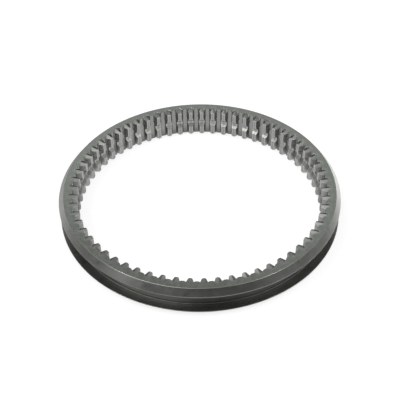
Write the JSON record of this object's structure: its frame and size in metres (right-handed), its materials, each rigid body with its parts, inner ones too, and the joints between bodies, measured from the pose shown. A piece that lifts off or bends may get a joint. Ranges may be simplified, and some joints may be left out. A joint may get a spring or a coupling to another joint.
{
  "type": "gearbox sliding sleeve",
  "caption": "Flat steel ring with a shift fork groove round its rim, internal spline teeth with pointed ends and pinched flanks, and a detent groove across the teeth.",
  "frame": {"origin": "on the turning axis, in the plane of the lower face that the sleeve rests on", "axes": "+Z along the turning axis, from the lower face to the upper face; a tooth is centred on -Y and a tooth space on +Y"},
  "size_m": [0.14, 0.14, 0.0162],
  "materials": {
    "machined_steel": "satin grey machined and case-hardened steel, bright on the turned bevels and on the tooth ends"
  },
  "bodies": {
    "root": {"sliding_sleeve": "machined_steel"}
  },
  "joints": []
}
